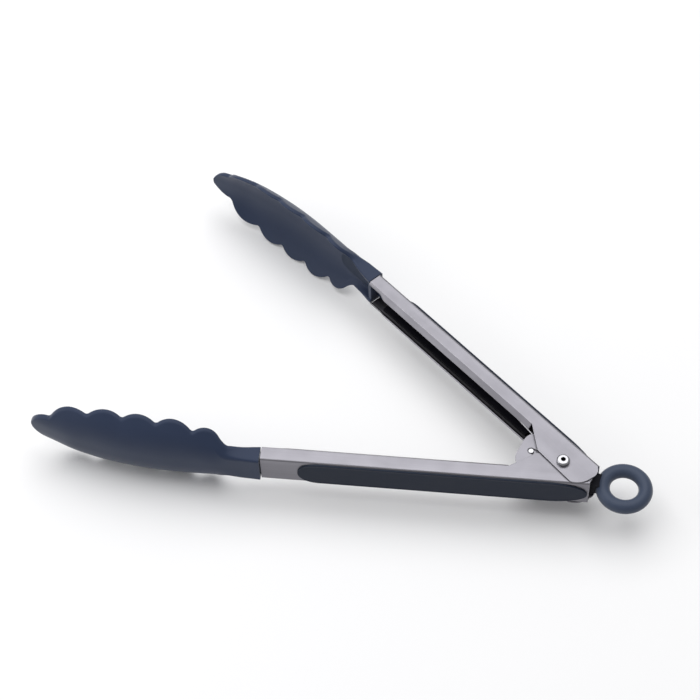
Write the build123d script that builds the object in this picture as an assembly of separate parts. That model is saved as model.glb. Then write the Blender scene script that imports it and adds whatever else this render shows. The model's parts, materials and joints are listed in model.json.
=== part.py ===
from build123d import *
import os
from math import atan2, cos, degrees, hypot, radians, sin

# Spring loaded kitchen tongs, lying on their side in the open position. All sizes in mm.
# +Z is the pivot axis, +X runs along the middle line between the arms towards the hang ring,
# and the gripping heads are at -X. Every arm part is drawn in an arm frame: the pivot is at
# the origin, the head at -X, and the back of the arm (the web of its channel) at +Y.

# Opening
half_open = 21.57        # angle of each arm from the middle line, open
pull_travel = 6.0        # how far the ring pulls the lock pin back

# Steel channels
steel = 0.8
web_y = 12.65            # outer face of the web, from the pivot
arm_front = 160.34       # end of the channel at the head
arm_rear = 14.6          # end of the channel at the ring
inner_half = 9.15        # half width of the inner arm
outer_half = 10.2        # half width of the outer arm, whose ears lie outside the inner ones
bend_y = 4.69            # where the side wall bends into the lip
lip_in = 2.41            # how far the lip goes on past the bend, towards the other arm
lip_side = 2.78          # how far it leans in from the side wall
lip_root = 0.37          # inside of the bend, above its outside
lip_rear = 28.5          # the lips stop here, in front of the ears
relief_y = 3.75          # near the head the lips are cut back to here
relief_full = 152.0      # the cut is full from the head end to here
relief_end = 145.0       # and runs out here
corner_r = 1.5
outer_ear = [(-14.3, -4.85), (11.3, -5.95), (15.3, -2.4), (17.3, 4.0), (17.1, 8.4)]
inner_ear = [(-14.3, -4.85), (10.4, -5.45), (13.5, -3.0), (16.2, 3.0), (16.0, 8.0)]

# Pivot
rivet_r = 2.45
rivet_hole_r = 2.53
rivet_head_r = 3.55
rivet_head_h = 2.1
rivet_bore_r = 1.3
rivet_gap = 0.1
spool_r = 4.0
spool_half = 6.0
wire_r = 0.7
coil_r = 5.0
coil_half = 4.75         # half height of the coil, between the middles of its end turns
coil_full_turns = 4
leg_reach = 46.0         # length of each spring leg along its arm
leg_y = 9.4              # its end, just off the liner

# Lock: two plates on the rivet carry a slot, and a pin on two straps slides in it
plate_z = 7.2
strap_z = 6.2
plate_t = 0.8
plate_front = 24.8
plate_half = 11.1
plate_rear_r = 6.6
lock_pin_x = -18.4
lock_pin_r = 1.6
pin_slot_r = 1.95
link_pin_x = 12.0
link_pin_r = 1.2
link_hole_r = 1.28
strap_half = 4.1
strap_slot_r = 2.75
link_r = 3.6
link_half = 5.9
neck_half_y = 3.1

# Hang ring
ring_x, ring_y = 33.6, 5.0
ring_r = 11.32
ring_tube = 3.77
ring_hole_r = 7.62       # plain wall inside the ring
ring_land = 3.0

# Grips
pad_front = 140.5
pad_nose = 12.5          # length of its rounded front
pad_rear = 13.8
pad_tail = 21.8          # and of its half oval at the rear
pad_t = 1.0
pad_margin = 0.75
pad_edge_r = 0.45
liner_front = 151.5
liner_rear = 34.0
liner_t = 1.4
liner_wall_y = 6.2
side_gap = 0.25
liner_corner = 0.6       # chamfer that clears the bend of the channel
peg_r = 2.0
peg_places = [48.0, 66.0, 84.0, 102.0]

# Heads
tip_s = 290.3
neck_gap = 0.3
neck_inset = 0.1
neck_floor = 4.7
neck_back = 14.2         # the neck stands this far out at the channel, a little proud of the web
neck_wall = 2.3
neck_end = 190.0
neck_solid = 3.2         # the neck is solid for this far from the channel
tongue_rear = 122.0
tongue_front = 203.0
tongue_half = 6.0
tongue_y = 9.4
tongue_t = 2.3
tongue_gap = 0.4
tongue_end_r = 2.5
head_rivet_s = 130.0
head_rivet_r = 1.6
crown_t = 3.8            # thickness of the shell in the middle
rim_t = 2.2              # and at the rim
section_power = 2.7      # roundness of the back, inside the line of the notches
crest_slope = 2.4        # and how steeply it falls outside it
# Stations: distance from the pivot, y of the back, y of the rim's front edge, half width
stations = [
    (176.0, 13.6, 7.1, 11.2),
    (186.0, 13.5, 5.6, 14.7),
    (198.0, 12.8, 3.6, 18.0),
    (217.0, 12.1, 1.2, 20.3),
    (236.0, 10.3, -0.2, 19.8),
    (256.0, 6.2, -2.2, 18.0),
    (268.0, 3.3, -4.2, 15.2),
    (278.0, -0.5, -5.9, 11.9),
    (291.0, -5.7, -8.3, 8.9),
]
# Rim: each notch, then the crest that follows it towards the neck (distance, half width)
notches = [(277.8, 9.8), (255.7, 18.2), (236.0, 20.1), (217.2, 20.1), (197.4, 17.9), (180.7, 12.0)]
crests = [(267.4, 18.3), (246.0, 22.3), (226.8, 22.8), (208.0, 22.6), (188.8, 19.5)]
notch_r = 1.5            # the notches are rounded
neck_r = 5.0             # and so is the corner where the last crest meets the neck
tip_side = (286.4, 6.5)


def closed_face(points):
    return make_face(Polyline(*points, close=True))


def drill(radius, x, y=0.0, reach=60.0):
    """A round tool along Z."""
    return Pos(x, y, 0) * Cylinder(radius, reach)


def across(radius, s, low, high):
    """A round bar along Y at distance s in front of the pivot."""
    bar = Cylinder(radius, high - low, align=(Align.CENTER, Align.CENTER, Align.MIN))
    return Pos(-s, low, 0) * Rot(-90, 0, 0) * bar


def lay(part, which):
    """Turn an arm part from the arm frame to its open place."""
    if which == "inner":
        return Rot(0, 0, half_open) * mirror(part, about=Plane.XZ)
    return Rot(0, 0, -half_open) * part


# Arms

def channel_face(half, lips):
    """Section of the channel in (y, z): half of it is drawn, then mirrored."""
    side = half - steel
    points = [(web_y, 0), (web_y, half), (bend_y, half)]
    if lips:
        run = hypot(lip_in, lip_side)
        back_y, back_z = lip_side / run * steel, -lip_in / run * steel
        end_y, end_z = bend_y - lip_in, half - lip_side
        points += [(end_y, end_z), (end_y + back_y, end_z + back_z), (bend_y + lip_root, side)]
    else:
        points += [(bend_y, side)]
    points += [(web_y - steel, side), (web_y - steel, 0)]
    face = closed_face(points)
    face = fillet(corner_at(face, web_y, half), corner_r)
    face = fillet(corner_at(face, web_y - steel, side), corner_r - steel)
    return face + mirror(face, about=Plane.XZ)


def corner_at(face, a, b):
    return [v for v in face.vertices() if hypot(v.X - a, v.Y - b) < 0.01]


def run_along(face, front, rear):
    """Extrude a (y, z) section from front to rear, both distances in front of the pivot."""
    return extrude(Plane.YZ.offset(-front) * face, amount=front - rear)


def ear_face(outline):
    shoulder = web_y - corner_r
    vee, foot, foot_arc, heel, heel_arc = outline
    lines = Polyline((arm_rear, shoulder), (-lip_rear, shoulder), (-lip_rear, bend_y), vee, foot)
    lines += ThreePointArc(foot, foot_arc, heel)
    lines += ThreePointArc(heel, heel_arc, (arm_rear, shoulder))
    return make_face(lines)


def lip_relief():
    """Tool that cuts the lips back near the head, with a soft S where the cut ends."""
    low = bend_y - lip_in - 1
    mid = (relief_full + relief_end) / 2, (relief_y + bend_y - lip_in) / 2
    edge = Spline((-relief_full, relief_y), (-mid[0], mid[1]), (-relief_end, bend_y - lip_in),
                  tangents=[(1, 0), (1, 0)])
    edge += Polyline((-relief_end, bend_y - lip_in), (-relief_end, low), (-arm_front - 1, low),
                     (-arm_front - 1, relief_y), (-relief_full, relief_y))
    return extrude(make_face(edge), amount=outer_half, both=True)


def steel_arm(half, outline):
    """Folded channel with rolled lips, and two ears at the pivot end."""
    arm = run_along(channel_face(half, True), arm_front, lip_rear) - lip_relief()
    arm += run_along(channel_face(half, False), lip_rear, -arm_rear)
    ear = extrude(ear_face(outline), amount=steel)
    arm += Pos(0, 0, half - steel) * ear
    arm += Pos(0, 0, -half) * ear
    arm -= drill(rivet_hole_r, 0)
    for s in peg_places:
        arm -= across(peg_r + 0.05, s, bend_y, web_y + 1)
    return arm - across(head_rivet_r, head_rivet_s, bend_y, web_y + 1)


# Grips

def pad_face(half):
    """Long oval: a blunt nose at the head and half an ellipse at the ring, in (x, z)."""
    wide = half - pad_margin
    nose = [(-pad_front, 0)]
    nose += [(-pad_front + pad_nose * along, wide * high) for along, high in ((0.12, 0.6), (0.44, 0.87), (1.0, 1.0))]
    turn = pad_rear - pad_tail
    upper = Spline(*nose, tangents=[(0, 1), (1, 0)]) + Line(nose[-1], (turn, wide))
    upper += Spline(*[(turn + pad_tail * sin(radians(a)), wide * cos(radians(a))) for a in range(0, 91, 15)],
                    tangents=[(1, 0), (0, -1)])
    return make_face(upper + mirror(upper, about=Plane.XZ))


def grip_pad(half):
    """Soft pad on the web, with pegs that go through it into the liner."""
    pad = extrude(Plane.XZ.offset(-web_y) * pad_face(half), amount=-pad_t)
    rim = [e for e in pad.edges() if e.center().Y > web_y + pad_t - 0.01]
    pad = fillet(rim, pad_edge_r)
    for s in peg_places:
        pad += across(peg_r, s, web_y - steel - liner_t, web_y + pad_t / 2)
    return pad


def tongue_slot():
    """Section of the way through the liner's floor for the tongue of the head."""
    wide = 2 * (tongue_half + tongue_gap)
    return Pos(web_y, 0) * Rectangle(2 * (web_y - liner_wall_y), wide)


def grip_liner(half):
    """Nylon trough inside the channel that the pad's pegs hold."""
    wide = half - steel - side_gap
    floor_y = web_y - steel
    cut = liner_corner
    points = [(floor_y, -wide + cut), (floor_y, wide - cut), (floor_y - cut, wide), (liner_wall_y, wide),
              (liner_wall_y, wide - liner_t), (floor_y - liner_t, wide - liner_t),
              (floor_y - liner_t, -wide + liner_t), (liner_wall_y, -wide + liner_t),
              (liner_wall_y, -wide), (floor_y - cut, -wide)]
    liner = run_along(closed_face(points), liner_front, liner_rear)
    liner -= run_along(tongue_slot(), liner_front + 1, tongue_rear - tongue_gap)
    for s in peg_places:
        liner -= across(peg_r, s, 0, web_y)
    return liner


# Heads

def fall(share):
    """How far the back has fallen at this share of the half width: 0 in the middle, 1 at 1."""
    return share ** section_power if share < 1 else 1 + crest_slope * (share - 1)


def blade_section(s, back, rim, half):
    """Crescent across the blade: a crowned back and a hollow front."""
    reach = half + 5.0
    places = [reach * k / 6 for k in range(-6, 7)]
    drop = back - rim - rim_t
    outer = [(back - drop * fall(abs(z) / half), z) for z in places]
    inner = [(y - crown_t + (crown_t - rim_t) * (z / reach) ** 2, z) for y, z in reversed(outer)]
    lines = Spline(*outer) + Line(outer[-1], inner[0]) + Spline(*inner) + Line(inner[-1], outer[0])
    return Plane.YZ.offset(-s) * make_face(lines)


def rim_face():
    """Plan of the blade in (x, z), with arcs between the notches."""
    tip = (-tip_s, 0)
    edge = ThreePointArc(tip, (-tip_side[0], tip_side[1]), (-notches[0][0], notches[0][1]))
    for start, crest, end in zip(notches, crests, notches[1:]):
        edge += ThreePointArc((-start[0], start[1]), (-crest[0], crest[1]), (-end[0], end[1]))
    last = notches[-1]
    edge += Line((-last[0], last[1]), (-170.0, last[1]))
    edge += Line((-170.0, last[1]), (-170.0, 0))
    face = make_face(edge + mirror(edge, about=Plane.XZ))
    for s, half in notches:
        corners = corner_at(face, -s, half) + corner_at(face, -s, -half)
        face = fillet(corners, neck_r if s == last[0] else notch_r)
    return face


def neck_block(half):
    """Trough that carries the blade on from the channel, its walls falling towards the blade."""
    start = arm_front + neck_gap
    side = closed_face([(-start, neck_back), (-start, neck_floor), (-176.0, 6.2), (-neck_end, 10.4),
                        (-neck_end, 13.0), (-176.0, 13.5)])
    block = extrude(side, amount=half - neck_inset, both=True)
    block = fillet([e for e in block.edges() if e.center().Y > 12 and abs(e.center().Z) > 1
                    and e.length > 10], corner_r)
    hollow = closed_face([(-start - neck_solid, 8.0), (-start - neck_solid, 0), (-neck_end, 0),
                          (-neck_end, 8.6)])
    return block - extrude(hollow, amount=half - neck_inset - neck_wall, both=True)


def head_core():
    """Stiff tongue that joins the head to the channel."""
    length = tongue_front - tongue_rear
    core = Pos(-(tongue_rear + tongue_front) / 2, tongue_y + tongue_t / 2, 0)
    core *= Box(length, tongue_t, tongue_half * 2)
    core = fillet(core.edges().filter_by(Axis.Y), tongue_end_r)
    return core - across(head_rivet_r, head_rivet_s, 0, web_y)


def head_shell(half):
    """Silicone head: a scalloped blade and a trough shaped neck round the tongue."""
    blade = loft([blade_section(*station) for station in stations])
    blade &= extrude(Plane.XZ * rim_face(), amount=30, both=True)
    shell = blade + neck_block(half)
    return shell - head_core()


def head_rivet():
    """Countersunk rivet through the web and the tongue, under the pad."""
    rivet = across(head_rivet_r, head_rivet_s, tongue_y - 0.5, web_y)
    return rivet + across(2.6, head_rivet_s, tongue_y - 1.3, tongue_y)


# Pivot

def pivot_rivet():
    """Tubular rivet with a domed head at each end."""
    shank_half = outer_half + rivet_gap
    rivet = Cylinder(rivet_r, shank_half * 2)
    head = Cylinder(rivet_head_r, rivet_head_h, align=(Align.CENTER, Align.CENTER, Align.MIN))
    head = fillet(head.edges().group_by(Axis.Z)[-1], 1.2)
    rivet += Pos(0, 0, shank_half) * head
    rivet += Rot(180, 0, 0) * (Pos(0, 0, shank_half) * head)
    return rivet - Cylinder(rivet_bore_r, 60)


def spring_spool():
    return Cylinder(spool_r, spool_half * 2) - drill(rivet_hole_r, 0)


def torsion_spring():
    """Coil round the spool with one leg in each channel."""
    slope = degrees(atan2(leg_y - coil_r, leg_reach))
    top = 90 - half_open - slope
    turn = 360 * coil_full_turns + 2 * top
    pitch = 2 * coil_half * 360 / turn
    path = Helix(pitch, 2 * coil_half, coil_r, lefthand=True)
    path = Pos(0, 0, -coil_half) * Rot(0, 0, top) * path
    spring = sweep(Plane(path @ 0, z_dir=path % 0) * Circle(wire_r), path=path)
    for angle, height, side in ((top, -coil_half, 1), (-top, coil_half, -1)):
        leg = Cylinder(wire_r, leg_reach, align=(Align.CENTER, Align.CENTER, Align.MIN))
        leg = Pos(coil_r, 0, 0) * Rot(-90 * side, 0, 0) * leg
        spring += Pos(0, 0, height) * Rot(0, 0, angle) * leg
    return spring


# Lock

def slot_tool(radius, start, end):
    """Round ended slot along X between two hole centres."""
    tool = drill(radius, start) + drill(radius, end)
    return tool + Pos((start + end) / 2, 0, 0) * Box(abs(end - start), radius * 2, 60)


def lock_plate(side):
    """Plate on the rivet, wide in front, with the slot that guides the lock pin."""
    front, wide = -plate_front, plate_half
    nose = [(front, 0), (front, 3.6), (-21.6, wide - 0.6), (-18.5, wide)]
    upper = Line(nose[0], nose[1]) + Spline(*nose[1:], tangents=[(0, 1), (1, 0)])
    upper += Line(nose[3], (-12.0, wide)) + Line((-12.0, wide), (2.0, plate_rear_r))
    upper += ThreePointArc((2.0, plate_rear_r), (2.0 + plate_rear_r * 0.7071, plate_rear_r * 0.7071),
                           (2.0 + plate_rear_r, 0))
    plate = extrude(make_face(upper + mirror(upper, about=Plane.XZ)), amount=plate_t)
    plate -= drill(rivet_hole_r, 0)
    plate -= slot_tool(pin_slot_r, lock_pin_x, lock_pin_x + pull_travel)
    return Pos(0, 0, plate_z if side > 0 else -plate_z - plate_t) * plate


def pull_strap(side):
    """Strip that joins the lock pin to the ring link, slotted round the rivet."""
    body = Box(link_pin_x - lock_pin_x, strap_half * 2, plate_t, align=(Align.MIN, Align.CENTER, Align.MIN))
    strap = Pos(lock_pin_x, 0, 0) * body
    end = Cylinder(strap_half, plate_t, align=(Align.CENTER, Align.CENTER, Align.MIN))
    strap += Pos(lock_pin_x, 0, 0) * end + Pos(link_pin_x, 0, 0) * end
    strap -= slot_tool(strap_slot_r, -pull_travel, 0)
    strap -= drill(lock_pin_r, lock_pin_x) + drill(link_pin_r, link_pin_x)
    return Pos(0, 0, strap_z if side > 0 else -strap_z - plate_t) * strap


def lock_pin():
    pin = Cylinder(lock_pin_r, 2 * (plate_z + plate_t))
    pin = chamfer(pin.edges().filter_by(GeomType.CIRCLE), 0.25)
    return Pos(lock_pin_x, 0, 0) * pin


def link_pin():
    return Pos(link_pin_x, 0, 0) * Cylinder(link_pin_r, 2 * (strap_z + plate_t))


def ring_solid():
    ring = Torus(ring_r, ring_tube) + Cylinder(ring_r, ring_land)
    return Pos(ring_x, ring_y, 0) * (ring - Cylinder(ring_hole_r, 20))


def ring_link():
    """Eye on the link pin and a neck that widens into the ring."""
    turn = degrees(atan2(ring_y, ring_x - link_pin_x))
    reach = hypot(ring_x - link_pin_x, ring_y) - ring_r
    near = Plane.YZ * Rectangle(neck_half_y * 2, link_half * 2)
    far = Plane.YZ.offset(reach) * Rectangle(neck_half_y * 2 + 2.4, ring_tube * 1.5)
    neck = Pos(link_pin_x, 0, 0) * Rot(0, 0, turn) * loft([near, far])
    link = Pos(link_pin_x, 0, 0) * Cylinder(link_r, link_half * 2) + neck
    return link - drill(link_hole_r, link_pin_x) - ring_solid()


def all_parts():
    parts = {}
    for which, half, outline in (("inner", inner_half, inner_ear), ("outer", outer_half, outer_ear)):
        pieces = {"arm": steel_arm(half, outline), "grip_pad": grip_pad(half), "grip_liner": grip_liner(half),
                  "head_shell": head_shell(half), "head_core": head_core(), "head_rivet": head_rivet()}
        for name, piece in pieces.items():
            parts[which + "_" + name] = lay(piece, which)
    parts["pivot_rivet"] = pivot_rivet()
    parts["spring_spool"] = spring_spool()
    parts["torsion_spring"] = torsion_spring()
    for name, side in (("upper", 1), ("lower", -1)):
        parts["lock_plate_" + name] = lock_plate(side)
        parts["pull_strap_" + name] = pull_strap(side)
    parts["lock_pin"] = lock_pin()
    parts["link_pin"] = link_pin()
    parts["ring_link"] = ring_link()
    parts["hang_ring"] = ring_solid()
    return parts


def main():
    os.makedirs("parts", exist_ok=True)
    parts = all_parts()
    whole = Compound(children=[Compound(part.solids()) for part in parts.values()]).bounding_box()
    shift = Pos(-whole.center().X, -whole.center().Y, -whole.min.Z)
    for name, part in parts.items():
        placed = shift * part
        export_step(placed, "parts/" + name + ".step")
        print(name, round(placed.volume, 1))
    print("shift", shift.position)


main()
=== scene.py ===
import json
import math

import bmesh
import bpy
import numpy as np
from mathutils import Matrix, Vector


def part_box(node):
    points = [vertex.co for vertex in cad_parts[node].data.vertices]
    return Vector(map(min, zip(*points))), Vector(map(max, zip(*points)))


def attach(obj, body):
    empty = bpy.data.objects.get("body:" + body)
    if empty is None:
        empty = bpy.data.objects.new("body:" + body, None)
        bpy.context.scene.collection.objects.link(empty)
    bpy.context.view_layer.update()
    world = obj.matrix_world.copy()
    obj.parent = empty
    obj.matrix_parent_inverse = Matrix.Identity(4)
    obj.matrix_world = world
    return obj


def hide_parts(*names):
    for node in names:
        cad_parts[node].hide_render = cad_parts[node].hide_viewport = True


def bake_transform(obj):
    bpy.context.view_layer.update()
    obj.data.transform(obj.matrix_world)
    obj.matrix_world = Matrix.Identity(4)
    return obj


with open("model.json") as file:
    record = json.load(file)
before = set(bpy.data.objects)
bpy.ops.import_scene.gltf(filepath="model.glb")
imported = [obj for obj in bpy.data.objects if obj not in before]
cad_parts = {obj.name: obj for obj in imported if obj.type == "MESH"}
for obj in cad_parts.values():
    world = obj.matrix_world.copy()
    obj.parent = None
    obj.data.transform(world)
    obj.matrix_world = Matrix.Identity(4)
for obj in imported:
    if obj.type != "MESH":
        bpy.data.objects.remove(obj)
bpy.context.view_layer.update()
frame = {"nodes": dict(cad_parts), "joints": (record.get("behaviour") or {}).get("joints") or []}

# Kitchen tongs lying open on their side. Lengths in the dictionaries are in mm, the scene is in metres.
# Arm parts are drawn along their own arm: s runs from the pivot to the tip, q from the middle of the
# tongs out to the back of the arm, z up along the rivet.

mm = 0.001
joints = {joint["name"]: joint for joint in frame["joints"]}
pivot = np.array(joints["arm_hinge"]["pos_m"])
openHalf = math.radians(21.57)
armHalf = {"inner": 9.15, "outer": 10.2}


def toRow(which, places):
    s, q, z = np.asarray(places, float).T
    side = 1.0 if which == "outer" else -1.0
    x = -s * math.cos(openHalf) + q * math.sin(openHalf)
    y = side * (s * math.sin(openHalf) + q * math.cos(openHalf))
    return pivot + np.stack([x, y, z], axis=1) * mm


def blendStep(low, high, value):
    t = np.clip((value - low) / (high - low), 0.0, 1.0)
    return t * t * (3.0 - 2.0 * t)


# Camera

cameraSet = {"place": (177.23, -530.39, 839.19),      # from the pivot
             "azimuth": 29.805, "elevation": 52.84, "roll": -2.55, "lens": 96.58, "sensor": 36.0}


def makeCamera(look):
    a, e, r = (math.radians(look[k]) for k in ("azimuth", "elevation", "roll"))
    forward = Vector((-math.sin(a) * math.cos(e), math.cos(a) * math.cos(e), -math.sin(e)))
    right = Vector((math.cos(a), math.sin(a), 0.0))
    up = right.cross(forward)
    right, up = right * math.cos(r) + up * math.sin(r), up * math.cos(r) - right * math.sin(r)
    data = bpy.data.cameras.new("studioCamera")
    data.lens, data.sensor_width = look["lens"], look["sensor"]
    data.clip_start, data.clip_end = 0.05, 20.0
    camera = bpy.data.objects.new("studioCamera", data)
    bpy.context.scene.collection.objects.link(camera)
    turn = Matrix((right, up, -forward)).transposed().to_4x4()
    camera.matrix_world = Matrix.Translation(Vector(pivot) + Vector(look["place"]) * mm) @ turn
    bpy.context.scene.camera = camera


makeCamera(cameraSet)
print("camera set")

# Shared node groups


def newGroup(name, inputs, outputs):
    group = bpy.data.node_groups.new(name, "ShaderNodeTree")
    kinds = {"value": "NodeSocketFloat", "vector": "NodeSocketVector", "color": "NodeSocketColor"}
    for label, kind, value in inputs:
        socket = group.interface.new_socket(label, in_out="INPUT", socket_type=kinds[kind])
        if value is not None:
            socket.default_value = value
    for label, kind in outputs:
        group.interface.new_socket(label, in_out="OUTPUT", socket_type=kinds[kind])
    return group, group.nodes.new("NodeGroupInput"), group.nodes.new("NodeGroupOutput")


def addNode(tree, kind, values=None, **settings):
    node = tree.nodes.new(kind)
    for key, value in settings.items():
        setattr(node, key, value)
    for key, value in (values or {}).items():
        if isinstance(value, bpy.types.NodeSocket):
            tree.links.new(value, node.inputs[key])
        else:
            node.inputs[key].default_value = value
    return node


def mathNode(tree, operation, a, b=0.5, clamp=False):
    return addNode(tree, "ShaderNodeMath", {0: a, 1: b}, operation=operation, use_clamp=clamp).outputs[0]


def rangeNode(tree, value, fromLow, fromHigh, toLow, toHigh):
    names = ("Value", "From Min", "From Max", "To Min", "To Max")
    values = dict(zip(names, (value, fromLow, fromHigh, toLow, toHigh)))
    return addNode(tree, "ShaderNodeMapRange", values).outputs[0]


def noiseNode(tree, place, scale, detail, roughness=0.5):
    values = {"Vector": place, "Scale": scale, "Detail": detail, "Roughness": roughness}
    return addNode(tree, "ShaderNodeTexNoise", values).outputs["Fac"]


def mixColor(tree, share, a, b):
    node = addNode(tree, "ShaderNodeMix", data_type="RGBA")
    for socket, value in ((node.inputs[0], share), (node.inputs[6], a), (node.inputs[7], b)):
        if isinstance(value, bpy.types.NodeSocket):
            tree.links.new(value, socket)
        else:
            socket.default_value = value
    return node.outputs[2]


def mouldedGrain():
    # fine tooth and slow cloudy change of a moulded surface
    group, given, out = newGroup(
        "mouldedGrain",
        [("Place", "vector", None), ("Grain Scale", "value", 2600.0), ("Cloud Scale", "value", 60.0),
         ("Dark", "color", (0.05, 0.06, 0.09, 1)), ("Light", "color", (0.07, 0.08, 0.12, 1)),
         ("Smooth", "value", 0.4), ("Rough", "value", 0.55)],
        [("Color", "color"), ("Roughness", "value"), ("Height", "value")])
    place, cloudShare = given.outputs["Place"], 0.75
    grain = noiseNode(group, place, given.outputs["Grain Scale"], 2.0, 0.6)
    cloud = noiseNode(group, place, given.outputs["Cloud Scale"], 3.0, 0.55)
    slow = mathNode(group, "MULTIPLY", rangeNode(group, cloud, 0.3, 0.7, 0.0, 1.0), cloudShare)
    both = mathNode(group, "ADD", slow, mathNode(group, "MULTIPLY", grain, 1.0 - cloudShare))
    color = mixColor(group, both, given.outputs["Dark"], given.outputs["Light"])
    rough = rangeNode(group, both, 0.0, 1.0, given.outputs["Smooth"], given.outputs["Rough"])
    for label, socket in (("Color", color), ("Roughness", rough), ("Height", grain)):
        group.links.new(socket, out.inputs[label])
    return group


def brushedLines():
    # long fine scratches along local X, with broader bands under them
    group, given, out = newGroup(
        "brushedLines",
        [("Place", "vector", None), ("Line Scale", "value", 900.0), ("Band Scale", "value", 70.0),
         ("Stretch", "value", 0.02)],
        [("Lines", "value"), ("Bands", "value")])
    split = addNode(group, "ShaderNodeSeparateXYZ", {0: given.outputs["Place"]})
    long = mathNode(group, "MULTIPLY", split.outputs[0], given.outputs["Stretch"])
    parts = {0: long, 1: split.outputs[1], 2: split.outputs[2]}
    joined = addNode(group, "ShaderNodeCombineXYZ", parts).outputs[0]
    group.links.new(noiseNode(group, joined, given.outputs["Line Scale"], 3.0, 0.65), out.inputs["Lines"])
    group.links.new(noiseNode(group, joined, given.outputs["Band Scale"], 2.0), out.inputs["Bands"])
    return group


def softEdge():
    # rounds a hard edge in shading, and gives a patchy mask along it for a painted edge highlight
    group, given, out = newGroup(
        "softEdge",
        [("Place", "vector", None), ("Width", "value", 0.0003), ("Patch Scale", "value", 220.0)],
        [("Painted Highlight", "value"), ("Normal", "vector")])
    bevel = addNode(group, "ShaderNodeBevel", {"Radius": given.outputs["Width"]}, samples=6)
    flat = addNode(group, "ShaderNodeNewGeometry")
    turned = addNode(group, "ShaderNodeVectorMath", {0: bevel.outputs[0], 1: flat.outputs["Normal"]},
                     operation="DOT_PRODUCT")
    away = mathNode(group, "SUBTRACT", 1.0, turned.outputs["Value"])
    patch = noiseNode(group, given.outputs["Place"], given.outputs["Patch Scale"], 2.0)
    paintedHighlight = mathNode(group, "MULTIPLY", rangeNode(group, away, 0.01, 0.16, 0.0, 1.0),
                    rangeNode(group, patch, 0.3, 0.6, 0.55, 1.0))
    group.links.new(paintedHighlight, out.inputs["Painted Highlight"])
    group.links.new(bevel.outputs[0], out.inputs["Normal"])
    return group


grainGroup, brushGroup, edgeGroup = mouldedGrain(), brushedLines(), softEdge()


def useGroup(tree, group, values):
    node = addNode(tree, "ShaderNodeGroup", node_tree=group)
    for key, value in values.items():
        if isinstance(value, bpy.types.NodeSocket):
            tree.links.new(value, node.inputs[key])
        else:
            node.inputs[key].default_value = value
    return node.outputs


def newMaterial(name, shaderValues):
    material = bpy.data.materials.new(name)
    material.use_nodes = True
    tree = material.node_tree
    tree.nodes.clear()
    shader = addNode(tree, "ShaderNodeBsdfPrincipled", shaderValues)
    addNode(tree, "ShaderNodeOutputMaterial", {"Surface": shader.outputs[0]})
    place = addNode(tree, "ShaderNodeTexCoord").outputs["Object"]
    return material, tree, shader, place


def bumpInto(tree, shader, height, strength, distance, normal=None):
    bump = addNode(tree, "ShaderNodeBump", {"Height": height, "Strength": strength, "Distance": distance})
    if normal is not None:
        tree.links.new(normal, bump.inputs["Normal"])
    tree.links.new(bump.outputs[0], shader.inputs["Normal"])


def steelMaterial(name, look, turn=0.0):
    material, tree, shader, place = newMaterial(name, {"Metallic": 1.0, "Anisotropic": look["anisotropy"]})
    along = addNode(tree, "ShaderNodeMapping", {"Vector": place, "Rotation": (0.0, 0.0, turn)}).outputs[0]
    brush = useGroup(tree, brushGroup, {"Place": along, "Line Scale": look["lineScale"],
                                        "Band Scale": look["bandScale"]})
    edge = useGroup(tree, edgeGroup, {"Place": place, "Width": look["edgeWidth"] * mm})
    cloud = noiseNode(tree, place, look["cloudScale"], 3.0)
    mixed = mathNode(tree, "ADD", mathNode(tree, "MULTIPLY", brush["Lines"], 0.5),
                     mathNode(tree, "MULTIPLY", brush["Bands"], 0.5))
    base = mixColor(tree, rangeNode(tree, mixed, 0.35, 0.65, 0.0, 1.0), look["dark"], look["light"])
    # painted highlight: the look's edge colour is laid over the rounded edges
    base = mixColor(tree, mathNode(tree, "MULTIPLY", edge["Painted Highlight"], look["paintedHighlightShare"]), base, look["edge"])
    tree.links.new(base, shader.inputs["Base Color"])
    rough = mathNode(tree, "ADD", rangeNode(tree, brush["Lines"], 0.3, 0.7, look["smooth"], look["rough"]),
                     rangeNode(tree, cloud, 0.35, 0.65, -look["cloudDepth"], look["cloudDepth"]))
    tree.links.new(rough, shader.inputs["Roughness"])
    bumpInto(tree, shader, brush["Lines"], look["bump"], look["bumpDepth"] * mm, edge["Normal"])
    return material


def mouldedMaterial(name, look):
    values = {"Metallic": 0.0, "Specular IOR Level": look["specular"], "Sheen Weight": look["sheen"],
              "Sheen Roughness": look["sheenRough"]}
    material, tree, shader, place = newMaterial(name, values)
    grain = useGroup(tree, grainGroup, {"Place": place, "Grain Scale": look["grainScale"],
                                        "Cloud Scale": look["cloudScale"],
                                        "Dark": look["dark"], "Light": look["light"],
                                        "Smooth": look["smooth"], "Rough": look["rough"]})
    edge = useGroup(tree, edgeGroup, {"Place": place, "Width": look["edgeWidth"] * mm})
    # painted highlight: the look's edge colour is laid over the rounded edges and rims
    paintedHighlight = mathNode(tree, "MULTIPLY", edge["Painted Highlight"], look["paintedHighlightShare"])
    base = mixColor(tree, paintedHighlight, grain["Color"], look["edge"])
    tree.links.new(base, shader.inputs["Base Color"])
    tree.links.new(grain["Roughness"], shader.inputs["Roughness"])
    bumpInto(tree, shader, grain["Height"], look["bump"], look["bumpDepth"] * mm, edge["Normal"])
    return material


def shade(r, g, b):
    return (r, g, b, 1.0)
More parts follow.
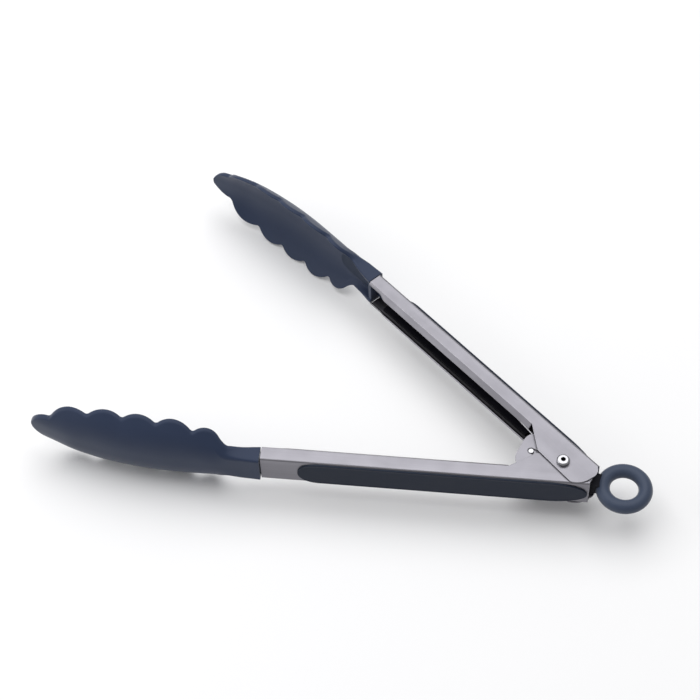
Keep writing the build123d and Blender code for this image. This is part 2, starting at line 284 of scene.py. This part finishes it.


# Looks. Widths and depths are in mm, scales are in waves per metre.
# The edge colour of each look is a painted highlight, mixed in along rounded edges by its share.
steelLook = {"dark": shade(0.205, 0.20, 0.222), "light": shade(0.25, 0.245, 0.27),
             "edge": shade(0.70, 0.70, 0.73), "smooth": 0.34, "rough": 0.46, "anisotropy": 0.35,
             "lineScale": 900.0, "bandScale": 60.0, "cloudScale": 90.0, "cloudDepth": 0.03,
             "edgeWidth": 0.25, "paintedHighlightShare": 0.8, "bump": 0.25, "bumpDepth": 0.02}
brightLook = dict(steelLook, dark=shade(0.34, 0.34, 0.36), light=shade(0.42, 0.42, 0.44),
                  edge=shade(0.60, 0.60, 0.62), smooth=0.16, rough=0.26, anisotropy=0.0, lineScale=500.0)
wireLook = dict(steelLook, dark=shade(0.36, 0.36, 0.38), light=shade(0.46, 0.46, 0.48),
                smooth=0.2, rough=0.3)
siliconeLook = {"dark": shade(0.018, 0.029, 0.062), "light": shade(0.023, 0.035, 0.072),
                "edge": shade(0.10, 0.13, 0.20), "smooth": 0.42, "rough": 0.52, "specular": 0.17,
                "sheen": 0.15, "sheenRough": 0.5, "grainScale": 2400.0, "cloudScale": 35.0,
                "edgeWidth": 0.5, "paintedHighlightShare": 0.5, "bump": 0.3, "bumpDepth": 0.03}
# the ring: the heads' silicone painted lighter, a lit copy for a ring that faces up into the light
paintedLitRingLook = dict(siliconeLook, dark=shade(0.040, 0.054, 0.090), light=shade(0.048, 0.064, 0.103),
                smooth=0.38, rough=0.48, paintedHighlightShare=0.2)
gripLook = dict(siliconeLook, dark=shade(0.011, 0.016, 0.030), light=shade(0.014, 0.020, 0.036),
                smooth=0.5, rough=0.62, specular=0.15, sheen=0.05, grainScale=3200.0, edgeWidth=0.3,
                paintedHighlightShare=0.2)
linerLook = dict(siliconeLook, dark=shade(0.005, 0.005, 0.009), light=shade(0.010, 0.010, 0.015),
                 edge=shade(0.05, 0.05, 0.06), smooth=0.5, rough=0.65, grainScale=1500.0, cloudScale=120.0,
                 edgeWidth=0.2, bump=0.6, specular=0.12, sheen=0.0)
coreLook = dict(siliconeLook, dark=shade(0.018, 0.026, 0.048), light=shade(0.023, 0.033, 0.058),
                sheen=0.0, paintedHighlightShare=0.2)

steel = {"inner": steelMaterial("brushedInnerArm", steelLook, -openHalf),
         "outer": steelMaterial("brushedOuterArm", steelLook, openHalf)}
plateSteel = steelMaterial("brushedPlate", steelLook)
brightSteel = steelMaterial("polishedRivet", brightLook)
wireSteel = steelMaterial("drawnWire", wireLook)
headSilicone = mouldedMaterial("slateSilicone", siliconeLook)
paintedLitRingSilicone = mouldedMaterial("paintedLitRingSilicone", paintedLitRingLook)
gripRubber = mouldedMaterial("gripRubber", gripLook)
linerNylon = mouldedMaterial("linerNylon", linerLook)
coreNylon = mouldedMaterial("coreNylon", coreLook)

cadFinish = {"pivot_rivet": brightSteel, "lock_pin": brightSteel, "link_pin": brightSteel,
             "spring_spool": linerNylon, "ring_link": linerNylon}
for side in ("upper", "lower"):
    cadFinish.update({"lock_plate_" + side: plateSteel, "pull_strap_" + side: plateSteel})
for which in ("inner", "outer"):
    cadFinish.update({which + "_arm": steel[which], which + "_grip_liner": linerNylon,
                      which + "_head_core": coreNylon, which + "_head_rivet": brightSteel})
for nodeName, material in cadFinish.items():
    data = frame["nodes"][nodeName].data
    data.materials.clear()
    data.materials.append(material)
print("materials made:", len(bpy.data.materials))

# Lofted pieces: a row of closed loops, capped at both ends


sharpFrom = 48      # degrees between faces from which an edge is drawn sharp


def loftMesh(name, loops, startCap, endCap):
    count = len(loops[0])
    points = np.concatenate(loops)
    faces = []
    for row in range(len(loops) - 1):
        a, b = row * count, (row + 1) * count
        for k in range(count):
            m = (k + 1) % count
            faces.append((a + k, a + m, b + m, b + k))
    faces += [tuple(ring) for ring in startCap]
    last = (len(loops) - 1) * count
    faces += [tuple(last + k for k in ring) for ring in endCap]
    mesh = bpy.data.meshes.new(name)
    mesh.from_pydata([tuple(p) for p in points], [], faces)
    work = bmesh.new()
    work.from_mesh(mesh)
    bmesh.ops.remove_doubles(work, verts=work.verts, dist=1e-6)
    bmesh.ops.recalc_face_normals(work, faces=work.faces)
    work.to_mesh(mesh)
    work.free()
    mesh.shade_smooth()
    mesh.set_sharp_from_angle(angle=math.radians(sharpFrom))
    return mesh


def addPiece(name, mesh, material, body, slotName, *replaced):
    mesh.materials.clear()
    mesh.materials.append(material)
    piece = bpy.data.objects.new(name, mesh)
    bpy.context.scene.collection.objects.link(piece)
    if body:
        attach(piece, body)
    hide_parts(*replaced)
    return piece


def smoothThrough(xs, ys, x):
    # cubic through the points, with tangents from their neighbours
    xs, ys = np.asarray(xs, float), np.asarray(ys, float)
    slope = np.gradient(ys, xs)
    k = np.clip(np.searchsorted(xs, x) - 1, 0, len(xs) - 2)
    width = xs[k + 1] - xs[k]
    t = np.clip((x - xs[k]) / width, 0.0, None)
    a, b = ys[k], ys[k + 1]
    return ((2 * t ** 3 - 3 * t ** 2 + 1) * a + (t ** 3 - 2 * t ** 2 + t) * width * slope[k]
            + (3 * t ** 2 - 2 * t ** 3) * b + (t ** 3 - t ** 2) * width * slope[k + 1])


# Silicone heads

headSet = {
    "tip": 290.3, "tipSide": (286.4, 6.5), "neckStart": 160.95,
    # distance from the pivot, back, front edge of the rim, half width there
    "stations": [(160.0, 14.3, 7.6, 9.5), (168.0, 13.9, 7.3, 9.8), (176.0, 13.6, 7.1, 11.2),
                 (186.0, 13.5, 5.6, 14.7), (198.0, 12.8, 3.6, 18.0), (217.0, 12.1, 1.2, 20.3),
                 (236.0, 10.3, -0.2, 19.8), (256.0, 6.2, -2.2, 18.0), (268.0, 3.3, -4.2, 15.2),
                 (278.0, -0.5, -5.9, 11.9), (291.0, -5.7, -8.3, 8.9)],
    "notches": [(277.8, 9.8), (255.7, 18.2), (236.0, 20.1), (217.2, 20.1), (197.4, 17.9), (180.7, 12.0)],
    "crests": [(267.4, 18.3), (246.0, 22.3), (226.8, 22.8), (208.0, 22.6), (188.8, 19.5)],
    "notchSoft": 1.2, "neckSoft": 2.5,               # how far the outline is smoothed, blade and neck
    "neckSoftFrom": 188.0, "neckSoftTo": 181.0,
    "crown": 3.8, "rim": 2.2, "crownReach": 5.0,     # thickness in the middle and at the rim
    "power": 2.7, "crestSlope": 2.6,                 # fall of the back inside and outside the notches
    "rimRound": 0.9, "rimCorner": 1.6, "neckRound": 0.5, "tipRound": 1.2,
    "wall": 2.3, "floor": 4.0, "fillDepth": 0.6, "neckGap": 0.1, "boxPower": 14, "corner": 1.6,
    "neckEdge": 4.7, "neckEdgeRise": 0.1,            # edge of the neck at the channel, and its rise per mm
    "blendFrom": 164.0, "blendTo": 182.5, "boxFrom": 170.0, "boxTo": 190.0,
    "pocket": (166.0, 163.0),                        # the trough is filled flush from here to the channel
    "neckStep": 0.7, "bladeFrom": 176.0, "bladeStep": 0.45, "tipRows": 34, "tipGather": 1.3,
}


def arcThrough(a, b, c):
    # centre and radius of the circle through three points
    ax, ay, bx, by, cx, cy = *a, *b, *c
    d = 2 * (ax * (by - cy) + bx * (cy - ay) + cx * (ay - by))
    aa, bb, cc = ax ** 2 + ay ** 2, bx ** 2 + by ** 2, cx ** 2 + cy ** 2
    ux = (aa * (by - cy) + bb * (cy - ay) + cc * (ay - by)) / d
    uy = (aa * (cx - bx) + bb * (ax - cx) + cc * (bx - ax)) / d
    return ux, uy, math.hypot(ax - ux, ay - uy)


def rimHalf(head, s):
    # half width of the scalloped outline at distance s
    s = np.asarray(s, float)
    notches, crests = head["notches"], head["crests"]
    cx, cy, r = arcThrough((head["tip"], 0.0), head["tipSide"], notches[0])
    width = np.where(s > notches[0][0], cy + np.sqrt(np.clip(r * r - (s - cx) ** 2, 0, None)), notches[-1][1])
    for start, crest, end in zip(notches, crests, notches[1:]):
        cx, cy, r = arcThrough(start, crest, end)
        on = (s <= start[0]) & (s > end[0])
        width = np.where(on, cy + np.sqrt(np.clip(r * r - (s - cx) ** 2, 0, None)), width)
    return width


def softHalf(head, s):
    # the outline with its corners eased, but for the last few mm at the tip
    near = float(blendStep(head["neckSoftFrom"], head["neckSoftTo"], s))
    reach = head["notchSoft"] + (head["neckSoft"] - head["notchSoft"]) * near
    spread = np.linspace(-1, 1, 7) * reach
    near = np.clip(s + spread, 150.0, head["tip"])
    return float(np.mean(rimHalf(head, near))) if s < head["tip"] - 8 else float(rimHalf(head, s))


def cornerPath(top, corner, end, radius, fall, backSteps=14, wallSteps=4):
    # from the middle line to the corner along the back, round it, then down the wall: (z, q) points
    (cz, cq), (ez, eq) = corner, end
    reach = math.hypot(ez - cz, eq - cq)
    radius = min(radius, 0.6 * reach + 0.05, 0.5 * cz)
    places = np.linspace(0.0, cz - radius, backSteps + 1)
    back = [(z, top - (top - cq) * fall(z / cz)) for z in places]
    share = min(radius / max(reach, 1e-6), 0.8)
    a, b = back[-1], (cz + (ez - cz) * share, cq + (eq - cq) * share)
    turn = [tuple((1 - t) ** 2 * a[i] + 2 * t * (1 - t) * corner[i] + t * t * b[i] for i in (0, 1))
            for t in (0.2, 0.4, 0.6, 0.8)]
    wall = [(b[0] + (ez - b[0]) * t, b[1] + (eq - b[1]) * t) for t in np.linspace(0.0, 1.0, wallSteps + 1)]
    return np.array(back + turn + wall)


def headLoop(head, half, s):
    # the section at distance s: a trough at the neck that opens into the hollow blade
    stations = np.array(head["stations"])
    back, rim, wide = (float(smoothThrough(stations[:, 0], stations[:, i], s)) for i in (1, 2, 3))
    share = float(blendStep(head["blendFrom"], head["blendTo"], s))
    rounding = float(blendStep(head["boxFrom"], head["boxTo"], s))
    outline = softHalf(head, s)
    roundOff = min(head["rimRound"], 0.45 * outline)
    endZ = outline - roundOff
    cornZ = max(endZ - head["rimCorner"], 0.6 * endZ)
    drop = back - rim - head["rim"]

    def outerAt(z):
        x = abs(z) / wide
        return back - drop * (x ** head["power"] if x < 1 else 1 + head["crestSlope"] * (x - 1))

    def innerAt(z):
        thinner = (head["crown"] - head["rim"]) * (z / (wide + head["crownReach"])) ** 2
        return outerAt(z) - head["crown"] + thinner

    def mix(a, b):
        return tuple(p + (r - p) * share for p, r in zip(a, b))

    def skin(bladeAt, neckZ, neckBack, radius):
        # one face of the wall: the box of the neck, turning into the curve of the blade
        edge = head["neckEdge"] + head["neckEdgeRise"] * (s - head["neckStart"])
        top, low = bladeAt(0.0), bladeAt(cornZ)

        def fall(x):
            blade = (top - bladeAt(x * cornZ)) / (top - low)
            return rounding * blade + (1 - rounding) * x ** head["boxPower"]

        corner = (neckZ + (cornZ - neckZ) * rounding, neckBack + (low - neckBack) * rounding)
        return cornerPath(neckBack + (top - neckBack) * rounding, corner,
                          mix((neckZ, edge), (endZ, bladeAt(endZ))), radius, fall)

    neck = half - head["neckGap"]
    fill = back - head["neckEdge"] - head["fillDepth"] - head["floor"]
    depth = head["floor"] + fill * float(blendStep(*head["pocket"], s))
    outer = skin(outerAt, neck, back, head["corner"])
    inner = skin(innerAt, neck - head["wall"], back - depth, head["corner"] * 0.6)
    fade = 1.0
    if s > head["tip"] - head["tipRound"]:
        fade = math.sqrt(max(0.0, 1 - ((s - head["tip"] + head["tipRound"]) / head["tipRound"]) ** 2))
    middle = (outer + inner) / 2
    outer, inner = middle + (outer - middle) * fade, middle + (inner - middle) * fade
    # the rim is rounded over, towards the front at the neck and outwards at the blade
    slope = (outerAt(endZ) - outerAt(endZ - 0.1)) / 0.1
    lead = np.array(mix((0.0, -1.0), (1.0 / math.hypot(1, slope), slope / math.hypot(1, slope))))
    lead *= (head["neckRound"] + (roundOff - head["neckRound"]) * share) / np.linalg.norm(lead)
    centre, arm = (outer[-1] + inner[-1]) / 2, (outer[-1] - inner[-1]) / 2
    angles = np.linspace(0, math.pi, 8)[1:-1]
    rimArc = np.array([centre + arm * math.cos(t) + lead * math.sin(t) for t in angles])
    halfLoop = np.concatenate([outer, rimArc, inner[::-1]])
    loop = np.concatenate([halfLoop, halfLoop[::-1][1:-1] * np.array([-1.0, 1.0])])
    return np.column_stack([np.full(len(loop), s), loop[:, 1], loop[:, 0]]), len(outer), len(rimArc)


def headRows(head):
    # where the sections stand, closer together towards the tip
    notch, count = head["notches"][0], head["tipRows"]
    x, y, radius = arcThrough((head["tip"], 0.0), head["tipSide"], notch)
    first = math.atan2(-y, head["tip"] - x)
    last = math.atan2(notch[1] - y, notch[0] - x)
    tip = [x + radius * math.cos(first + (last - first) * (k / count) ** head["tipGather"])
           for k in range(1, count + 1)]
    neck = np.arange(head["neckStart"], head["bladeFrom"], head["neckStep"])
    blade = np.arange(head["bladeFrom"], notch[0] - 0.2, head["bladeStep"])
    return np.concatenate([neck, blade, sorted(tip)])


def headCaps(outerCount, arcCount, count):
    # the neck's end face, as strips from the outside of the trough to its inside
    insideEnd = outerCount + arcCount
    strips = []
    for k in range(outerCount - 1):
        o, i = k, 2 * outerCount + arcCount - 1 - k
        strips.append((o, o + 1, i - 1, i))
        mo, mi = (count - o) % count, (count - i) % count
        strips.append((mo, mi, (count - i + 1) % count, (count - o - 1) % count))
    strips.append(tuple(range(outerCount - 1, insideEnd + 1)))
    strips.append(tuple((count - k) % count for k in range(outerCount - 1, insideEnd + 1)))
    return strips


def makeHead(which):
    rows = headRows(headSet)
    loops, outerCount, arcCount = [], 0, 0
    for s in rows:
        loop, outerCount, arcCount = headLoop(headSet, armHalf[which], float(s))
        loops.append(toRow(which, loop))
    count = len(loops[0])
    caps = headCaps(outerCount, arcCount, count)
    tip = [tuple(range(count))]
    mesh = loftMesh(which + "HeadSilicone", loops, caps, tip)
    addPiece(which + "_head_silicone", mesh, headSilicone, which + "_arm", "slate_silicone",
             which + "_head_shell")


for which in ("inner", "outer"):
    makeHead(which)
print("heads made")

# Grip pads

gripSet = {"front": 140.5, "rear": -13.8, "proud": 1.0, "margin": 0.75, "web": 12.65,
           "edgeRound": 0.5, "crown": 0.12,
           "nose": 12.5, "nosePower": 2.4, "noseRows": 30, "tail": 21.8, "tailPower": 2.0, "tailRows": 40,
           "rowStep": 3.0}


def gripShare(grip, s):
    # how wide the oval is at s, as a share of its full width
    if s > grip["front"] - grip["nose"]:
        t = 1 - (grip["front"] - s) / grip["nose"]
        return max(0.0, 1 - t ** grip["nosePower"]) ** 0.5
    if s < grip["rear"] + grip["tail"]:
        t = 1 - (s - grip["rear"]) / grip["tail"]
        return max(0.0, 1 - t ** grip["tailPower"]) ** 0.5
    return 1.0


def gripLoop(grip, half, s):
    wide = max((half - grip["margin"]) * gripShare(grip, s), 0.02)
    soft = min(grip["edgeRound"], wide * 0.9)
    height = grip["proud"] * min(1.0, 0.25 + wide / 1.5)
    soft = min(soft, height)
    flat = wide - soft
    top = [(flat * k / 6, height + grip["crown"] * (1 - (k / 6) ** 2) - grip["crown"]) for k in range(7)]
    top += [(flat + soft * math.sin(a), height - soft + soft * math.cos(a))
            for a in np.radians([15, 30, 45, 60, 75, 90])]
    top.append((wide, -0.05))
    halfLoop = np.array(top)
    loop = np.concatenate([halfLoop, halfLoop[::-1][:-1] * np.array([-1.0, 1.0])])
    return np.column_stack([np.full(len(loop), s), grip["web"] + loop[:, 1], loop[:, 0]])


def makeGrip(which):
    noseRows, tailRows, step = gripSet["noseRows"], gripSet["tailRows"], gripSet["rowStep"]
    nose = [gripSet["front"] - gripSet["nose"] * (k / noseRows) ** 2 for k in range(1, noseRows + 1)]
    tail = [gripSet["rear"] + gripSet["tail"] * (k / tailRows) ** 2 for k in range(1, tailRows + 1)]
    rows = sorted(nose + list(np.arange(tail[-1] + step, nose[-1] - 1.0, step)) + tail)
    loops = [toRow(which, gripLoop(gripSet, armHalf[which], s)) for s in rows]
    ends = [tuple(range(len(loops[0])))]
    mesh = loftMesh(which + "GripRubber", loops, ends, ends)
    addPiece(which + "_grip_rubber", mesh, gripRubber, which + "_arm", "grip_rubber", which + "_grip_pad")


for which in ("inner", "outer"):
    makeGrip(which)
print("grips made")

# Pieces by geometry nodes: the tree is built here, run once, and kept as a plain mesh


def newMaker(name, inputs):
    tree = bpy.data.node_groups.new(name, "GeometryNodeTree")
    kinds = {"value": "NodeSocketFloat", "count": "NodeSocketInt", "material": "NodeSocketMaterial"}
    for label, kind, value in inputs:
        socket = tree.interface.new_socket(label, in_out="INPUT", socket_type=kinds[kind])
        if value is not None:
            socket.default_value = value
    tree.interface.new_socket("Geometry", in_out="OUTPUT", socket_type="NodeSocketGeometry")
    return tree, tree.nodes.new("NodeGroupInput").outputs, tree.nodes.new("NodeGroupOutput")


def endMaker(tree, geometry, material, out):
    real = addNode(tree, "GeometryNodeRealizeInstances", {"Geometry": geometry})
    smooth = addNode(tree, "GeometryNodeSetShadeSmooth", {"Geometry": real.outputs[0]})
    painted = addNode(tree, "GeometryNodeSetMaterial", {"Geometry": smooth.outputs[0], "Material": material})
    tree.links.new(painted.outputs[0], out.inputs[0])


def circleNode(tree, steps, radius):
    values = {"Resolution": steps, "Radius": radius}
    return addNode(tree, "GeometryNodeCurvePrimitiveCircle", values).outputs[0]


def runMaker(name, tree, values):
    holder = bpy.data.objects.new(name, bpy.data.meshes.new(name))
    bpy.context.scene.collection.objects.link(holder)
    modifier = holder.modifiers.new("maker", "NODES")
    modifier.node_group = tree
    for item in tree.interface.items_tree:
        if item.in_out == "INPUT" and item.name in values:
            modifier[item.identifier] = values[item.name]
    graph = bpy.context.evaluated_depsgraph_get()
    mesh = bpy.data.meshes.new_from_object(holder.evaluated_get(graph))
    bpy.data.objects.remove(holder)
    return mesh


# the keys with spaces are the labels of the tree's inputs
springSet = {"Wire Radius": 0.7, "Coil Radius": 5.0, "Coil Height": 9.5, "Leg Length": 46.0,
             "turns": 4, "legEnd": 9.4, "blendShare": 0.8}


def springMaker():
    tree, given, out = newMaker("springMaker", [
        ("Wire Radius", "value", 0.0007), ("Coil Radius", "value", 0.005), ("Coil Height", "value", 0.0095),
        ("Rotations", "value", 4.35), ("Start Angle", "value", 1.1), ("Leg Length", "value", 0.046),
        ("Material", "material", None)])
    coil = addNode(tree, "GeometryNodeCurveSpiral", {
        "Resolution": 48, "Rotations": given["Rotations"], "Start Radius": given["Coil Radius"],
        "End Radius": given["Coil Radius"], "Height": given["Coil Height"], "Reverse": True})
    lowered = mathNode(tree, "MULTIPLY", given["Coil Height"], -0.5)
    where = addNode(tree, "ShaderNodeCombineXYZ", {2: lowered})
    turned = addNode(tree, "ShaderNodeCombineXYZ", {2: given["Start Angle"]})
    joined = addNode(tree, "GeometryNodeJoinGeometry")
    coilPlaced = addNode(tree, "GeometryNodeTransform", {
        "Geometry": coil.outputs[0], "Translation": where.outputs[0], "Rotation": turned.outputs[0]})
    tree.links.new(coilPlaced.outputs[0], joined.inputs[0])
    for side in (1.0, -1.0):
        height = mathNode(tree, "MULTIPLY", given["Coil Height"], -0.5 * side)
        start = addNode(tree, "ShaderNodeCombineXYZ", {0: given["Coil Radius"], 2: height})
        away = mathNode(tree, "MULTIPLY", given["Leg Length"], side)
        end = addNode(tree, "ShaderNodeCombineXYZ", {0: given["Coil Radius"], 1: away, 2: height})
        ends = {"Start": start.outputs[0], "End": end.outputs[0]}
        leg = addNode(tree, "GeometryNodeCurvePrimitiveLine", ends)
        angle = mathNode(tree, "MULTIPLY", given["Start Angle"], side)
        turn = addNode(tree, "ShaderNodeCombineXYZ", {2: angle})
        moved = {"Geometry": leg.outputs[0], "Rotation": turn.outputs[0]}
        placed = addNode(tree, "GeometryNodeTransform", moved)
        tree.links.new(placed.outputs[0], joined.inputs[0])
    section = circleNode(tree, 14, given["Wire Radius"])
    wire = addNode(tree, "GeometryNodeCurveToMesh", {
        "Curve": joined.outputs[0], "Profile Curve": section, "Fill Caps": True})
    endMaker(tree, wire.outputs[0], given["Material"], out)
    return tree


def makeSpring():
    slope = math.atan2(springSet["legEnd"] - springSet["Coil Radius"], springSet["Leg Length"])
    start = math.pi / 2 - openHalf - slope
    values = {key: springSet[key] * mm for key in ("Wire Radius", "Coil Radius", "Coil Height", "Leg Length")}
    values.update({"Start Angle": start, "Rotations": springSet["turns"] + start / math.pi,
                   "Material": wireSteel})
    mesh = runMaker("springWire", springMaker(), values)
    mesh.transform(Matrix.Translation(Vector(pivot)))
    spring = addPiece("torsion_spring_wire", mesh, wireSteel, None, "spring_steel", "torsion_spring")
    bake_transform(spring)


ringSet = {"Ring Radius": 11.32, "Tube Radius": 3.77, "Seam Height": 0.07, "Seam Width": 0.25}


def ringMaker():
    tree, given, out = newMaker("ringMaker", [
        ("Ring Radius", "value", 0.01132), ("Tube Radius", "value", 0.00377),
        ("Seam Height", "value", 0.0001), ("Seam Width", "value", 0.0003), ("Material", "material", None)])
    path = circleNode(tree, 160, given["Ring Radius"])
    section = circleNode(tree, 96, given["Tube Radius"])
    tube = addNode(tree, "GeometryNodeCurveToMesh", {"Curve": path, "Profile Curve": section})
    place = addNode(tree, "GeometryNodeInputPosition")
    split = addNode(tree, "ShaderNodeSeparateXYZ", {0: place.outputs[0]})
    height = mathNode(tree, "ABSOLUTE", split.outputs[2])
    off = mathNode(tree, "DIVIDE", height, given["Seam Width"])
    share = mathNode(tree, "SUBTRACT", 1.0, off, clamp=True)
    normal = addNode(tree, "GeometryNodeInputNormal")
    step = addNode(tree, "ShaderNodeVectorMath", {0: normal.outputs[0]}, operation="SCALE")
    tree.links.new(mathNode(tree, "MULTIPLY", share, given["Seam Height"]), step.inputs["Scale"])
    shift = {"Geometry": tube.outputs[0], "Offset": step.outputs[0]}
    raised = addNode(tree, "GeometryNodeSetPosition", shift)
    endMaker(tree, raised.outputs[0], given["Material"], out)
    return tree


def makeRing():
    values = {key: value * mm for key, value in ringSet.items()}
    values["Material"] = paintedLitRingSilicone
    mesh = runMaker("hangRing", ringMaker(), values)
    low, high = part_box("hang_ring")
    mesh.transform(Matrix.Translation((low + high) / 2))
    addPiece("hang_ring_silicone", mesh, paintedLitRingSilicone, "hang_loop", "ring_silicone", "hang_ring")


makeSpring()
makeRing()
print("spring and ring made")

# Studio

studioSet = {"floor": shade(0.86, 0.86, 0.865), "floorDull": shade(0.84, 0.84, 0.85), "floorSize": 4.0,
             "floorDrop": 0.0002, "worldLight": 0.4,
             "key": {"place": (-0.35, 0.35, 1.5), "size": 2.0, "power": 29.0},
             "fill": {"place": (-1.3, -0.7, 0.65), "size": 1.0, "power": 6.0}}


def makeFloor():
    size = studioSet["floorSize"] / 2
    mesh = bpy.data.meshes.new("floor")
    corners = [(-size, -size, 0), (size, -size, 0), (size, size, 0), (-size, size, 0)]
    mesh.from_pydata(corners, [], [(0, 1, 2, 3)])
    floor = bpy.data.objects.new("floor", mesh)
    bpy.context.scene.collection.objects.link(floor)
    floor.location = (0.0, 0.0, -studioSet["floorDrop"])
    material, tree, shader, place = newMaterial("paperFloor", {"Roughness": 0.9, "Specular IOR Level": 0.1})
    soft = noiseNode(tree, place, 4.0, 2.0)
    tone = mixColor(tree, soft, studioSet["floor"], studioSet["floorDull"])
    tree.links.new(tone, shader.inputs["Base Color"])
    mesh.materials.append(material)


def makeLamp(name, look):
    data = bpy.data.lights.new(name, "AREA")
    data.energy, data.size = look["power"], look["size"]
    lamp = bpy.data.objects.new(name, data)
    bpy.context.scene.collection.objects.link(lamp)
    place = Vector(look["place"])
    lamp.location = place
    lamp.rotation_euler = (-place).to_track_quat("-Z", "Y").to_euler()


def makeWorld():
    world = bpy.data.worlds.new("studio")
    bpy.context.scene.world = world
    world.use_nodes = True
    background = world.node_tree.nodes["Background"]
    background.inputs[0].default_value = (1.0, 1.0, 1.0, 1.0)
    background.inputs[1].default_value = studioSet["worldLight"]


makeFloor()
makeWorld()
makeLamp("keyLamp", studioSet["key"])
makeLamp("fillLamp", studioSet["fill"])
bpy.context.scene.view_settings.view_transform = "Standard"
print("studio set")
